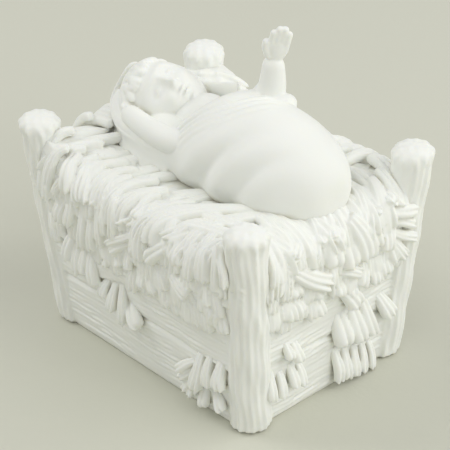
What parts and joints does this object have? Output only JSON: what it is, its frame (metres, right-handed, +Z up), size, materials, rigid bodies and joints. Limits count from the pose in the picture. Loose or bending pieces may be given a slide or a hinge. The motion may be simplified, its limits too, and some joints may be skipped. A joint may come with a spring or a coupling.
{
  "type": "infant in manger figurine",
  "caption": "White bisque figurine of a swaddled infant lying on straw in a manger with log posts, one arm raised with an open hand.",
  "frame": {"origin": "centre of the footprint, on the flat underside", "axes": "+Z up, X along the manger with the child's head towards -X and feet towards +X, the raised arm on the +Y side"},
  "size_m": [0.0693, 0.0544, 0.0711],
  "materials": {
    "bisque": "unglazed bisque, matte"
  },
  "bodies": {
    "root": {"infant_in_manger": "bisque"}
  },
  "joints": []
}
